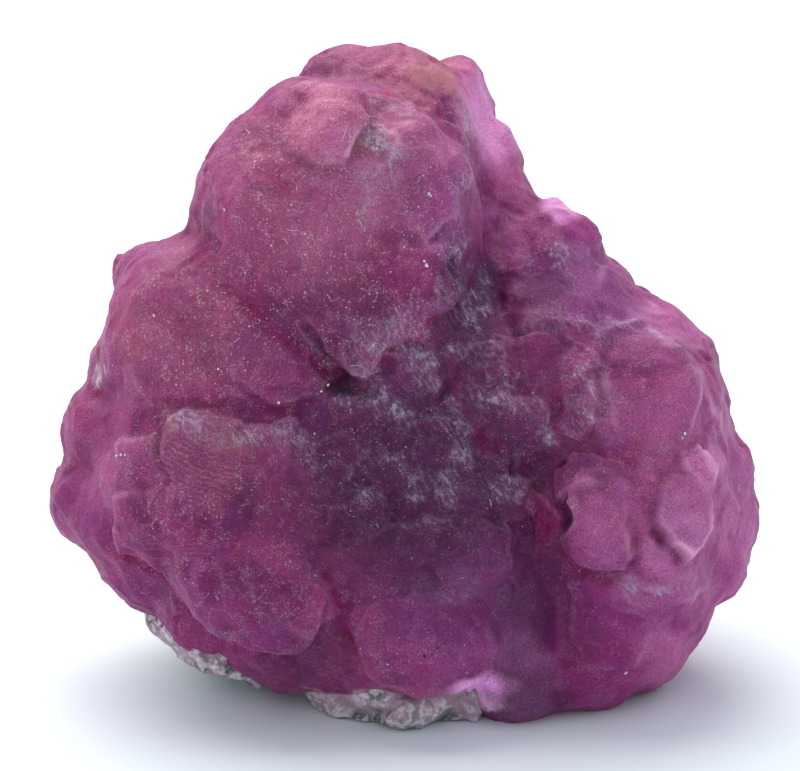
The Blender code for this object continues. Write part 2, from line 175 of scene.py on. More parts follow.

# Ledges with frosting and a painted sheen on their lit tops. Points along each, then its width
FROSTED = {
    "apron": (((-1.9, 17.5), (-0.6, 18.3), (0.4, 18.8), (1.4, 19.4)), 0.20),
    "apron tip": (((-1.8, 16.4), (-1.4, 17.2), (-1.1, 17.9)), 0.42),
    "under the tip": (((-2.5, 15.0), (-1.4, 14.8), (-0.2, 14.3)), 0.40),
    "middle a": (((-0.1, 16.7), (0.9, 16.5), (1.0, 15.6)), 0.28),
    "middle b": (((0.8, 16.7), (2.1, 17.1), (2.5, 16.8)), 0.32),
    "middle c": (((2.9, 16.9), (4.0, 17.0), (4.5, 16.6), (4.7, 15.7)), 0.38),
    "middle d": (((4.0, 14.7), (4.7, 14.7), (4.9, 14.3)), 0.32),
    "middle e": (((5.7, 14.3), (6.1, 14.6), (6.3, 14.0), (6.4, 13.2), (6.5, 12.8)), 0.30),
    "middle f": (((2.0, 14.6), (2.6, 13.7), (2.8, 12.8)), 0.26),
    "middle g": (((2.4, 12.5), (2.9, 11.8)), 0.28),
    "middle h": (((1.6, 11.3), (2.1, 10.5)), 0.24),
    "middle i": (((4.2, 11.0), (4.6, 10.5), (5.2, 10.6)), 0.26),
    "middle j": (((-0.6, 12.0), (0.2, 11.4), (0.6, 10.4)), 0.22),
    "middle k": (((-2.4, 11.0), (-1.6, 10.2)), 0.22),
    "column a": (((7.7, 15.4), (8.2, 15.7), (8.4, 14.9)), 0.28),
    "column b": (((7.4, 14.6), (8.3, 13.9)), 0.24),
    "arc a": (((5.6, 18.1), (6.7, 18.4), (8.4, 17.7), (8.9, 17.2)), 0.34),
    "arc b": (((9.4, 18.2), (11.0, 18.0), (12.4, 16.8), (13.1, 15.6)), 0.20),
    "slope": (((7.0, 21.5), (7.1, 20.3)), 0.26),
    "valley a": (((2.0, 21.6), (2.6, 20.4), (2.4, 19.2)), 0.26),
    "valley b": (((3.5, 20.2), (3.6, 18.8), (3.1, 17.8)), 0.26),
    "fan": (((-10.2, 13.6), (-9.0, 13.5), (-7.6, 13.1), (-6.6, 13.3), (-5.4, 13.0)), 0.34),
    "fan right": (((-5.2, 13.6), (-4.3, 12.7), (-4.0, 11.6)), 0.26),
    "crown line": (((2.5, 26.4), (2.7, 25.0), (2.3, 23.7)), 0.16),
    "crown patch": (((-1.7, 26.8), (-0.8, 26.1), (-0.4, 25.1), (-1.3, 24.5)), 0.45),
    "cap edge": (((2.3, 28.5), (2.6, 27.7), (3.0, 26.8)), 0.30),
    "cap foot": (((-0.5, 27.9), (0.2, 27.6)), 0.25),
    "plateau foot": (((-2.2, 24.9), (-1.7, 23.8), (-1.4, 22.6)), 0.22),
    "lower ledge": (((10.2, 6.6), (11.6, 6.4), (12.8, 6.9)), 0.22),
}

# Cracks where the clear crystal shows its deepest red. Points along each, then its width
CRACKS = {
    "middle": (((2.1, 16.5), (2.2, 15.2), (2.8, 14.2)), 0.30),
    "facet": (((4.7, 16.8), (4.9, 15.6), (5.6, 14.9)), 0.35),
    "block": (((3.4, 13.3), (3.9, 12.7), (4.4, 12.3)), 0.50),
    "ledge": (((6.6, 14.6), (6.7, 13.6), (6.9, 12.8)), 0.35),
    "crown and ball": (((-9.6, 22.8), (-8.6, 20.6), (-7.0, 19.0), (-5.4, 17.4), (-3.2, 15.8)), 0.45),
    "apron": (((1.9, 19.4), (1.0, 18.3), (-0.6, 17.0), (-1.5, 15.7)), 0.30),
    "left ball": (((-11.0, 14.5), (-8.8, 14.4), (-6.0, 14.3), (-4.0, 14.7)), 0.40),
    "plateau": (((-1.7, 28.4), (-1.4, 27.2), (-1.3, 26.4)), 0.30),
    "blade": (((5.7, 10.8), (5.8, 9.0), (6.2, 7.6)), 0.50),
    "petal": (((7.0, 7.6), (8.0, 6.9), (9.4, 6.7)), 0.40),
    "wedge": (((10.8, 10.0), (11.3, 8.8), (12.2, 7.4)), 0.40),
    "left sheet": (((-12.8, 7.6), (-10.9, 6.9), (-9.4, 5.0), (-8.0, 4.2), (-6.2, 3.3)), 0.45),
    "tongue": (((-2.6, 5.6), (-2.7, 4.0), (-1.8, 2.4), (-0.2, 1.5)), 0.35),
    "sheet end": (((-3.4, 7.0), (-3.0, 5.2), (-2.8, 3.6)), 0.40),
}

# Where the face is rugged: centre, radii and how much
RUGGED = {
    "middle": ((0.7, 11.1), (7.4, 6.6), 0.9),
    "upper middle": ((2.0, 16.2), (5.0, 3.0), 0.9),
    "slope": ((6.8, 20.0), (4.0, 4.0), 0.3),
    "crown": ((-2.2, 24.0), (6.0, 6.5), 0.2),
    "apron edge": ((-0.4, 17.6), (2.4, 1.3), 1.0),
    "column": ((8.0, 15.0), (2.2, 3.0), 0.8),
    "petals": ((10.5, 10.0), (4.0, 3.4), 0.5),
    "lower right": ((9.5, 5.0), (5.0, 4.0), 0.4),
}

# Where it is smooth
CALM = {
    "right slope": ((9.4, 19.8), (5.6, 4.6), 0.8),
    "lower right": ((10.0, 4.6), (5.0, 3.6), 0.5),
    "right dome": ((11.4, 14.6), (3.0, 3.0), 0.6),
    "pale blade": ((4.2, 27.6), (1.8, 3.4), 0.9),
    "left rim": ((-13.8, 11.4), (2.2, 5.0), 0.6),
    "tongue": ((1.4, 3.8), (3.4, 2.6), 0.5),
    "petal": ((9.2, 9.5), (1.7, 2.2), 0.5),
    "wedge": ((13.0, 9.8), (1.7, 2.2), 0.5),
    "crown": ((-3.4, 23.6), (5.6, 5.6), 0.55),
    "left ball": ((-9.6, 17.6), (4.0, 3.6), 0.45),
}

# Where the whole surface moves in or out by this many millimetres: centre, radii and how far
SWELLS = {
    "crown shoulder": ((-5.3, 28.9), (1.6, 1.3), 0.30),
    "left side": ((-13.8, 16.2), (1.2, 1.2), 0.28),
    "bottom edge": ((-2.6, 1.7), (3.8, 1.0), 0.32),
}
HOLLOWS = {
    "lower left": ((-12.6, 5.0), (2.4, 2.2), 0.22),
    "far slope": ((11.2, 19.6), (1.4, 1.4), 0.24),
    "cap right": ((3.9, 28.4), (0.8, 2.0), 0.25),
}

# Where the crystal has another tint, some of them painted light and painted shade as marked below: centre, radii and
# how much
TINTS = {
    # A darker wine tone with painted shade, where the crystal is thick or lies under an overhang
    "plum_and_shade": {
        "middle": ((0.7, 11.1), (6.8, 5.9), 1.0),
        "upper middle": ((2.6, 15.8), (3.6, 2.6), 0.68),
        "under the slope": ((5.6, 19.0), (2.0, 2.4), 0.5),
        "facet": ((5.9, 16.6), (1.4, 1.8), 0.5),
        "right of the blade": ((6.4, 9.6), (1.0, 2.0), 0.8),
        "upper valley": ((2.9, 19.4), (2.0, 3.4), 0.95),
        "lower valley": ((5.8, 7.0), (2.2, 5.0), 0.8),
        "under the left plate": ((-4.7, 2.9), (2.9, 1.8), 0.55),
        "bottom": ((5.0, 1.4), (3.4, 1.8), 0.6),
        "crown shade": ((-3.6, 18.0), (3.4, 2.6), 0.50),
        "left ball foot": ((-5.6, 16.9), (2.6, 1.6), 0.30),
        "fan": ((-8.6, 12.2), (3.0, 2.0), 0.28),
        "left ball low": ((-7.6, 17.0), (2.0, 1.6), 0.30),
        "crown low": ((-4.4, 20.4), (2.4, 1.8), 0.22),
        "far left": ((-11.8, 20.4), (1.4, 1.2), 0.20),
        "tongue": ((1.8, 5.6), (2.8, 2.0), 0.38),
        "left sheet": ((-7.6, 5.4), (3.6, 2.6), 0.24),
        "below the fan": ((-5.6, 10.2), (2.6, 2.2), 0.36),
        "right of the valley": ((7.9, 4.2), (1.5, 1.6), 0.62),
        "far left sheet": ((-11.0, 6.0), (1.9, 1.2), 0.28),
        "petal foot": ((8.0, 7.3), (1.2, 0.8), 0.25),
        "petal top": ((8.3, 11.6), (1.4, 0.7), 0.50),
        "slope": ((6.6, 21.0), (1.0, 1.0), 0.16),
        "apron": ((0.8, 18.8), (1.2, 1.0), 0.15),
        "dome top": ((9.8, 16.9), (2.8, 1.2), 0.24),
        "cap": ((0.2, 29.7), (2.4, 1.0), 0.14),
    },
    "purple": {
        "lower right": ((9.8, 4.6), (5.4, 4.4), 0.8),
        "right rim": ((15.0, 10.0), (2.4, 7.0), 0.8),
        "right slope": ((9.6, 20.4), (5.4, 4.4), 0.7),
        "tongue": ((3.0, 6.0), (4.4, 4.0), 0.9),
        "crown right": ((2.2, 22.8), (2.2, 4.0), 0.7),
        "lower left": ((-11.0, 4.6), (6.0, 3.4), 0.6),
        "left foot": ((-14.6, 9.2), (2.4, 2.6), 0.4),
    },
    # A paler rose tone, with painted light where thin edges would glow as light passes through them
    "pink_and_shine_through": {
        "far left bud": ((-12.9, 20.6), (1.8, 2.3), 0.15),
        "crown right": ((1.4, 23.4), (1.8, 2.6), 0.30),
        "left edge": ((-13.4, 12.0), (1.6, 2.8), 0.25),
        "below the wedge": ((11.7, 7.8), (1.6, 1.0), 0.85),
        "far foot": ((11.8, 3.0), (1.8, 1.6), 0.60),
        "dome": ((9.9, 14.2), (1.8, 1.7), 0.40),
        "left of the wedge": ((11.4, 11.6), (1.3, 0.9), 0.45),
        "slope": ((8.0, 20.6), (1.2, 1.0), 0.25),
        "crown below the plateau": ((-1.1, 24.2), (1.3, 1.1), 0.35),
        "beside the crown": ((4.5, 22.4), (1.2, 1.8), 0.35),
        "beside the plateau": ((0.6, 26.0), (1.5, 1.4), 0.35),
        "plateau foot": ((-2.9, 26.0), (1.0, 0.8), 0.7),
        "right rim": ((15.2, 9.3), (1.2, 5.0), 0.5),
        "slope beside the crown": ((4.9, 24.7), (0.9, 1.6), 0.3),
        "plateau": ((-3.6, 26.9), (1.6, 1.6), 0.25),
        "pale blade": ((4.2, 28.3), (1.8, 2.9), 1.2),
        "right foot": ((14.2, 6.0), (1.6, 2.2), 0.4),
        "petal": ((9.2, 9.5), (1.7, 2.2), 0.45),
        "wedge": ((13.0, 9.8), (1.7, 2.2), 0.65),
        "lens": ((13.6, 11.8), (1.1, 1.3), 1.0),
        "right dome": ((12.8, 13.6), (2.8, 3.0), 0.45),
        "low ledge": ((11.6, 6.6), (2.4, 1.4), 0.35),
        "top cap": ((1.2, 29.8), (2.6, 1.2), 0.1),
        "crown middle": ((-3.0, 22.8), (2.6, 2.4), 0.25),
        "far right": ((12.4, 18.2), (2.2, 1.8), 0.4),
    },
    "lilac": {
        "tongue top": ((2.2, 6.4), (2.6, 1.0), 0.6),
        "crown right edge": ((2.9, 23.6), (0.9, 3.0), 0.5),
        "left of the wedge": ((12.0, 9.0), (1.2, 1.6), 0.3),
        "valley": ((2.8, 20.4), (1.2, 2.2), 0.4),
        "lower valley": ((4.7, 4.6), (1.2, 3.0), 0.5),
        "valley foot": ((6.0, 2.3), (1.5, 1.2), 0.5),
        "above the tongue": ((4.3, 7.8), (1.5, 1.1), 0.35),
        "tongue": ((0.8, 4.2), (3.0, 2.4), 0.2),
        "slope low": ((8.0, 20.4), (1.8, 1.4), 0.45),
        "arc": ((8.9, 18.8), (2.4, 1.2), 0.45),
        # bottom: a painted reflection of the pale floor
        "bottom": ((5.2, 0.9), (1.5, 1.0), 0.8),
    },
    # Painted light: places made to glow pale rose as if lit from within, though no lamp is there
    "painted_glow": {
        "bottom window": ((3.3, 1.75), (1.6, 0.75), 1.0),
        "pale bud": ((7.0, 23.6), (0.8, 0.8), 0.7),
        "blade edge": ((4.2, 28.0), (1.1, 2.8), 0.30),
        "wedge": ((12.2, 8.8), (1.6, 1.6), 0.12),
        "valley foot": ((5.4, 3.0), (1.8, 1.0), 0.10),
    },
    "deep": {
        "crown low left": ((-6.1, 19.4), (1.2, 1.2), 0.35),
        "crown high left": ((-6.1, 26.3), (1.0, 0.8), 0.35),
        "right of the valley": ((8.4, 4.6), (1.1, 1.0), 0.30),
        "blade": ((6.3, 9.2), (0.8, 1.7), 1.2),
        "left rim": ((-14.4, 10.0), (2.0, 4.0), 0.30),
        "far left bud": ((-12.9, 20.6), (1.4, 1.8), 0.3),
        "crown left": ((-6.6, 27.2), (1.6, 1.0), 0.8),
        "crown edge": ((3.0, 23.6), (0.7, 3.0), 0.7),
        "crown foot": ((-5.2, 18.4), (1.6, 1.2), 0.5),
        "under the petal": ((8.6, 7.0), (1.4, 0.6), 0.6),
        "lower right": ((9.0, 3.0), (3.0, 1.4), 0.6),
        "facet": ((5.6, 16.6), (0.8, 1.3), 0.4),
        "fan low": ((-9.4, 8.6), (2.6, 0.9), 0.5),
        "under the sheet": ((-8.8, 3.9), (2.8, 1.2), 0.6),
    },
    # A salmon tone on the crown and left ball, brightened as painted light where the top lamp falls
    "salmon_and_top_light": {
        "crown plateau": ((-3.5, 26.9), (2.0, 2.2), 1.0),
        "crown": ((-4.0, 23.8), (4.4, 5.0), 0.6),
        "top cap": ((1.0, 29.6), (2.6, 1.8), 0.9),
        "left ball": ((-9.9, 18.0), (4.0, 4.0), 0.5),
        "fan": ((-9.0, 12.2), (3.2, 2.3), 0.4),
        "cap": ((-2.4, 30.2), (1.6, 0.9), 0.3),
        "beside the plateau": ((0.4, 26.0), (1.6, 1.6), 0.5),
    },
    "growth lines": {
        "fan": ((-9.3, 11.6), (2.4, 1.9), 1.0),
        "crown left": ((-7.6, 27.0), (1.6, 2.6), 0.6),
        "crown right": ((2.4, 25.0), (1.0, 2.4), 0.7),
        "left ball": ((-11.6, 16.8), (1.6, 2.4), 0.5),
        "left sheet": ((-9.8, 8.2), (2.6, 1.6), 0.5),
        "column": ((8.2, 14.8), (1.2, 1.8), 0.5),
    },
    "dust": {
        "crown": ((-2.8, 22.6), (6.4, 7.4), 1.0),
        "left ball": ((-9.2, 17.6), (4.4, 4.0), 0.9),
        "fan": ((-8.8, 11.4), (4.6, 4.0), 0.7),
        "middle left": ((-2.4, 12.6), (4.4, 4.4), 0.7),
        "middle": ((2.6, 12.4), (4.6, 4.6), 0.4),
        "left sheet": ((-7.6, 6.4), (4.6, 3.6), 0.5),
        "tongue": ((0.8, 4.4), (3.6, 3.0), 0.35),
        "right dome": ((9.6, 13.6), (4.0, 4.4), 0.35),
        "petals": ((10.4, 9.6), (4.0, 3.0), 0.25),
    },
    # Frosting of the crystal; in the material its top-facing ledges and plate rims also get a painted sheen
    "frost_and_sheen": {
        "crown apron": ((-0.3, 17.8), (2.2, 1.2), 1.0),
        "crown patch": ((-0.8, 25.8), (1.0, 1.2), 1.0),
        "crown right edge": ((2.6, 20.6), (0.5, 2.4), 0.7),
        "valley": ((3.1, 18.9), (1.2, 2.4), 0.9),
        "middle": ((2.4, 15.2), (3.6, 2.4), 0.7),
        "middle low": ((1.4, 11.3), (4.6, 3.6), 0.35),
        "below the apron": ((-1.6, 14.9), (1.8, 1.0), 0.9),
        "column": ((8.1, 15.0), (1.4, 2.2), 1.0),
        "right arc": ((9.6, 18.0), (3.6, 0.9), 0.8),
        "fan ledge": ((-8.0, 13.4), (3.4, 0.9), 0.9),
        "lens": ((13.9, 11.9), (0.6, 1.1), 0.5),
        "low ledge": ((11.8, 6.2), (1.8, 1.0), 0.4),
        "block edge": ((6.0, 13.7), (0.6, 1.4), 1.0),
        "slope": ((6.0, 20.6), (2.6, 3.0), 0.5),
        "tongue top": ((2.6, 6.6), (3.0, 1.0), 0.4),
    },
    "chalk": {
        "apron tip": ((-2.1, 16.4), (0.5, 0.9), 0.45),
        "apron": ((-1.2, 17.4), (0.9, 0.5), 0.70),
        "apron right": ((-0.1, 18.2), (1.0, 0.4), 0.65),
        "apron grains": ((1.2, 20.0), (0.2, 0.6), 0.6),
        "crown patch": ((-0.9, 25.8), (0.8, 0.8), 0.8),
        "crown patch foot": ((-1.6, 24.6), (0.4, 0.6), 0.5),
        "cap edge": ((2.7, 27.6), (0.4, 1.0), 0.4),
        "under the tip": ((-3.6, 15.9), (0.6, 0.4), 0.4),
    },
    "yellow": {
        "crown patch": ((-1.9, 25.9), (0.5, 0.5), 0.8),
        "petal tip": ((10.1, 8.4), (0.22, 0.3), 0.7),
        "wedge tip": ((12.8, 8.0), (0.3, 0.3), 0.8),
        "fan": ((-10.4, 13.3), (0.4, 0.4), 0.7),
        "fan middle": ((-7.6, 12.6), (1.0, 0.7), 0.4),
        # top cap: painted light, the yellowish glow of the crown's top under the top lamp
        "top cap": ((1.4, 29.6), (1.4, 1.0), 0.9),
    },
    # A painted shadow in the gap under the apron
    "painted_gap_shadow": {
        "gap under the apron": ((-2.6, 15.5), (0.9, 0.5), 0.8),
    },
    "white": {
        "broken edge": ((-13.8, 15.8), (0.4, 0.5), 0.9),
        "rock contact left": ((-2.6, 1.35), (2.6, 0.45), 0.9),
        "rock contact right": ((1.4, 0.95), (3.2, 0.45), 0.9),
    },
}


# Flecks of dust big enough to stand out: across and up in the display frame, and half their size
FLECKS = (
    (1.0, 20.7, 0.11), (0.9, 20.9, 0.08), (-1.2, 25.9, 0.09), (1.1, 23.9, 0.08), (1.2, 23.8, 0.06), (-7.5, 26.3, 0.06),
    (-0.6, 20.4, 0.05), (0.0, 21.5, 0.05), (-7.1, 20.4, 0.06), (-5.9, 21.6, 0.05), (-8.0, 23.2, 0.09), (-11.2, 18.5, 0.08),
    (-8.3, 16.1, 0.06), (-3.4, 15.4, 0.09), (-5.6, 14.6, 0.07), (-3.7, 15.1, 0.06), (12.6, 13.2, 0.10), (12.5, 13.0, 0.06),
    (10.0, 2.4, 0.09), (-12.9, 12.2, 0.09), (-12.7, 12.25, 0.08), (-12.5, 12.25, 0.06), (-5.0, 23.4, 0.05),
    (-2.6, 21.2, 0.05), (-4.4, 22.1, 0.05), (-8.8, 19.6, 0.06), (-6.9, 18.0, 0.05), (-10.2, 15.4, 0.05), (-4.0, 13.2, 0.06),
)

# Threads of lint: across and up of one end, the way they run in degrees, their length and how much they bend
LINT = (
    (-3.5, 27.7, 80.0, 0.35, 0.2), (2.6, 24.3, 82.0, 0.6, 0.3), (-5.2, 22.3, -15.0, 0.45, 0.4), (-5.4, 21.9, -35.0, 0.3, -0.4),
    (-2.8, 26.2, 65.0, 0.8, 0.2), (-6.9, 26.6, 120.0, 0.3, 0.3), (7.3, 10.2, -70.0, 0.4, 0.8), (-1.9, 22.4, 95.0, 0.35, 0.5),
    (-7.6, 17.3, 30.0, 0.3, 0.3), (-3.3, 19.2, 110.0, 0.25, 0.4), (-9.9, 13.6, 70.0, 0.4, 0.5), (3.9, 10.0, 100.0, 0.3, 0.3),
    (-1.6, 16.9, 45.0, 0.5, 0.3), (-2.4, 16.2, 15.0, 0.4, -0.4), (0.6, 24.4, 60.0, 0.3, 0.4), (-6.2, 24.9, 140.0, 0.3, 0.3),
)
LINT_RADIUS = 0.012

# Small dust strewn over the crystals: how many lie on a square millimetre of a dusty place, the half sizes of the
# smallest and the largest along each of their own axes, and the seed that places them
STREWN = {
    "fine grains": (1.6, (0.008, 0.008, 0.006), (0.024, 0.018, 0.012), 3),
    "grains": (0.35, (0.018, 0.016, 0.010), (0.050, 0.036, 0.020), 4),
    "fibres": (0.30, (0.05, 0.006, 0.006), (0.14, 0.009, 0.009), 5),
}
BARE_DUST = 0.06
SCATTER_INPUTS = {
    "Density": "NodeSocketFloat",
    "Smallest": "NodeSocketVector",
    "Largest": "NodeSocketVector",
    "Seed": "NodeSocketInt",
    "Material": "NodeSocketMaterial",
}

# Black grains on the crystal, given like the flecks
GRAINS = ((0.90, 3.30, 0.10), (1.50, 3.65, 0.07), (1.80, 3.85, 0.06))


def display_matrix():
    lean = Matrix.Rotation(-DISPLAY_LEAN, 4, "X")
    upright = Matrix(((1, 0, 0, 0), (0, 0, -1, 0), (0, 1, 0, 0), (0, 0, 0, 1)))
    return Matrix.Translation((0, FOOT_FRONT_Y * MM, 0)) @ lean @ upright @ Matrix.Scale(MM, 4)


TO_WORLD = display_matrix()
TO_DISPLAY = np.array(TO_WORLD.inverted())
OUT = np.array(TO_WORLD.to_3x3() @ Vector((0, 0, 1))) / MM


def smoothstep(low, high, values):
    t = np.clip((values - low) / (high - low), 0.0, 1.0)
    return t * t * (3.0 - 2.0 * t)


class Surface:
    """The points of a mesh as arrays, with the blurs and noises that sculpt it."""

    def __init__(self, mesh):
        self.mesh = mesh
        self.points = np.empty(len(mesh.vertices) * 3)
        mesh.vertices.foreach_get("co", self.points)
        self.points = self.points.reshape(-1, 3) / MM
        ends = np.empty(len(mesh.edges) * 2, np.int64)
        mesh.edges.foreach_get("vertices", ends)
        ends = ends.reshape(-1, 2)
        self.start = np.concatenate([ends[:, 0], ends[:, 1]])
        self.end = np.concatenate([ends[:, 1], ends[:, 0]])
        self.degree = np.maximum(np.bincount(self.start, minlength=len(self.points)), 1)
        mesh.calc_loop_triangles()
        corners = np.empty(len(mesh.loop_triangles) * 3, np.int64)
        mesh.loop_triangles.foreach_get("vertices", corners)
        self.triangles = corners.reshape(-1, 3)

    def normals(self):
        a, b, c = (self.points[self.triangles[:, i]] for i in range(3))
        faces = np.cross(b - a, c - a)
        total = np.zeros_like(self.points)
        for axis in range(3):
            for corner in range(3):
                total[:, axis] += np.bincount(
                    self.triangles[:, corner], weights=faces[:, axis], minlength=len(total)
                )
        return total / np.maximum(np.linalg.norm(total, axis=1, keepdims=True), 1e-12)

    def blurred(self, values, rounds):
        values = values.reshape(len(values), -1).astype(float)
        for _ in range(rounds):
            columns = [
                np.bincount(self.start, weights=values[self.end, i], minlength=len(values))
                for i in range(values.shape[1])
            ]
            values = 0.5 * values + 0.5 * np.stack(columns, 1) / self.degree[:, None]
        return values if values.shape[1] > 1 else values[:, 0]

    def display(self):
        return self.points * MM @ TO_DISPLAY[:3, :3].T + TO_DISPLAY[:3, 3]

    def relief(self, rounds):
        """How far each point stands above the surface blurred by this many rounds, in millimetres."""
        return ((self.points - self.blurred(self.points, rounds)) * self.normals()).sum(1)

    def write(self, attributes):
        self.points[:, 2] = np.maximum(self.points[:, 2], 0.0)
        self.mesh.vertices.foreach_set("co", (self.points * MM).ravel())
        for name, values in attributes.items():
            made = self.mesh.attributes.new(name, "FLOAT", "POINT")
            made.data.foreach_set("value", np.asarray(values, np.float32))
        self.mesh.update()


def lattice_noise(points, size, seed):
    """Smooth noise between about -1 and 1, whose lumps are about size across."""
    scaled = points / size + 1000.0
    cell = np.floor(scaled).astype(np.int64)
    part = scaled - cell
    ease = part * part * (3.0 - 2.0 * part)
    total = np.zeros(len(points))
    for corner in range(8):
        step = np.array([corner & 1, corner >> 1 & 1, corner >> 2 & 1])
        key = (cell + step) @ np.array([73856093, 19349663, 83492791]) + seed * 2654435761
        key = (key ^ (key >> 13)) * 1274126177 & 0xFFFFFFFF
        value = (key ^ (key >> 16)) % 65536 / 32768.0 - 1.0
        weight = np.where(step == 1, ease, 1.0 - ease).prod(1)
        total += weight * value
    return total


def fractal(points, size, seed, octaves=4):
    total = np.zeros(len(points))
    for octave in range(octaves):
        total += lattice_noise(points, size / 2**octave, seed + octave) / 2**octave
    return total


def crystal_relief(points, normals, spacing, steepness, seed):
    """The height of small overlapping flat-faced crystals that cover the surface, in units of spacing."""
    rng = np.random.default_rng(seed)
    centres = scattered(points, spacing, rng)
    slopes = rng.normal(0, 1, (len(centres), 4, 3))
    slopes /= np.linalg.norm(slopes, axis=2, keepdims=True)
    height = rng.uniform(0.5, 1.0, len(centres))
    near = nearest(points, centres, 4)
    best = np.full(len(points), -np.inf)
    for rank in range(4):
        chosen = near[:, rank]
        away = (points - centres[chosen]) / spacing
        away -= (away * normals).sum(1, keepdims=True) * normals
        fall = np.einsum("nfk,nk->nf", slopes[chosen], away).max(1)
        best = np.maximum(best, height[chosen] - steepness * np.maximum(fall, 0.12))
    return best


def shingles(points, spacing, tilt, seed):
    """The height in millimetres of flat plates that each lean their own way and meet in small steps."""
    rng = np.random.default_rng(seed)
    centres = scattered(points, spacing, rng)
    lean = rng.normal(0, tilt, (len(centres), 3))
    level = rng.uniform(-0.3, 0.3, len(centres)) * tilt * spacing
    chosen = nearest(points, centres, 1)[:, 0]
    return level[chosen] + ((points - centres[chosen]) * lean[chosen]).sum(1)


def scattered(points, spacing, rng):
    """Some of the points, moved a little, about this far apart."""
    count = int(1.3 * len(points) * (POINT_SPACING / spacing) ** 2)
    return points[rng.integers(0, len(points), count)] + rng.normal(0, 0.15 * spacing, (count, 3))


def nearest(points, centres, count):
    tree = kdtree.KDTree(len(centres))
    for index, centre in enumerate(centres):
        tree.insert(centre, index)
    tree.balance()
    return np.array([[hit[1] for hit in tree.find_n(point, count)] for point in points])


def inside(across_up, corners):
    """How far inside a many-cornered outline each point is; negative outside it."""
    nearest = np.full(len(across_up), np.inf)
    winding = np.zeros(len(across_up), bool)
    for (x0, y0), (x1, y1) in zip(corners, corners[1:] + corners[:1]):
        side = np.array([x1 - x0, y1 - y0])
        from_start = across_up - (x0, y0)
        along = np.clip(from_start @ side / (side @ side), 0.0, 1.0)
        nearest = np.minimum(nearest, np.linalg.norm(from_start - along[:, None] * side, axis=1))
        crosses = (y0 > across_up[:, 1]) != (y1 > across_up[:, 1])
        if y1 != y0:
            at = (x1 - x0) * (across_up[:, 1] - y0) / (y1 - y0) + x0
            winding ^= crosses & (across_up[:, 0] < at)
    return np.where(winding, nearest, -nearest)


def standing_out(across_up, corners, degrees):
    """How much of its lift a plate has at each point: all on the side this way, little on the far side."""
    way = np.array([math.cos(math.radians(degrees)), math.sin(math.radians(degrees))])
    reach = np.array(corners) @ way
    span = reach.max() - reach.min()
    return smoothstep(reach.min() - 0.1 * span, reach.min() + 0.7 * span, across_up @ way)


def seam(across_up, corners, width):
    """1 on the line through the corners, falling to 0 at this width from it."""
    nearest = np.full(len(across_up), np.inf)
    for start, end in zip(corners, corners[1:]):
        side = np.subtract(end, start)
        from_start = across_up - start
        along = np.clip(from_start @ side / (side @ side), 0.0, 1.0)
        nearest = np.minimum(nearest, np.linalg.norm(from_start - along[:, None] * side, axis=1))
    return 1.0 - smoothstep(0.0, width, nearest)


def spread(across_up, places):
    """The strongest of some soft-edged ovals at each point."""
    total = np.zeros(len(across_up))
    for centre, radii, amount in places.values():
        distance = np.linalg.norm((across_up - centre) / np.array(radii), axis=1)
        total = np.maximum(total, amount * (1.0 - smoothstep(0.45, 1.25, distance)))
    return total


def melt_lobes(mesh):
    """Lets the rounded lobes sink into the face, so that crystal plates can take their place."""
    surface = Surface(mesh)
    facing = smoothstep(-0.1, 0.5, surface.normals() @ OUT)
    amount = facing * spread(surface.display()[:, :2], MELTS)
    surface.points += amount[:, None] * (surface.blurred(surface.points, MELT_ROUNDS) - surface.points)
    surface.write({})


def fine_copy(node, name, voxel, rounds, shaped=None):
    """A finely meshed copy of a CAD node, with the facets rounded off."""
    bm = bmesh.new()
    bm.from_mesh(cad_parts[node].data)
    bmesh.ops.remove_doubles(bm, verts=bm.verts, dist=0.001 * MM)
    mesh = bpy.data.meshes.new(name)
    bm.to_mesh(mesh)
    bm.free()
    if shaped:
        shaped(mesh)
    obj = bpy.data.objects.new(name, mesh)
    bpy.context.scene.collection.objects.link(obj)
    remesh = obj.modifiers.new("fine", "REMESH")
    remesh.mode = "VOXEL"
    remesh.voxel_size = voxel
    smooth = obj.modifiers.new("round", "SMOOTH")
    smooth.factor = 0.5
    smooth.iterations = rounds
    graph = bpy.context.evaluated_depsgraph_get()
    finished = bpy.data.meshes.new_from_object(obj.evaluated_get(graph))
    obj.modifiers.clear()
    obj.data = finished
    finished.shade_smooth()
    return obj


def thin_the_back(obj, triangles):
    """Brings a piece down to this many triangles, taking them from the side away from the display face."""
    mesh = obj.data
    mesh.calc_loop_triangles()
    normals = np.empty(len(mesh.vertices) * 3)
    mesh.vertices.foreach_get("normal", normals)
    away = smoothstep(-0.1, 0.4, -normals.reshape(-1, 3) @ OUT)
    group = obj.vertex_groups.new(name="away")
    for level in range(11):
        chosen = np.flatnonzero(np.round(away * 10) == level)
        group.add(chosen.tolist(), level / 10, "REPLACE")
    thin = obj.modifiers.new("thin", "DECIMATE")
    thin.ratio = min(1.0, triangles / len(mesh.loop_triangles))
    thin.vertex_group = group.name
    graph = bpy.context.evaluated_depsgraph_get()
    finished = bpy.data.meshes.new_from_object(obj.evaluated_get(graph))
    obj.modifiers.clear()
    obj.vertex_groups.clear()
    obj.data = finished


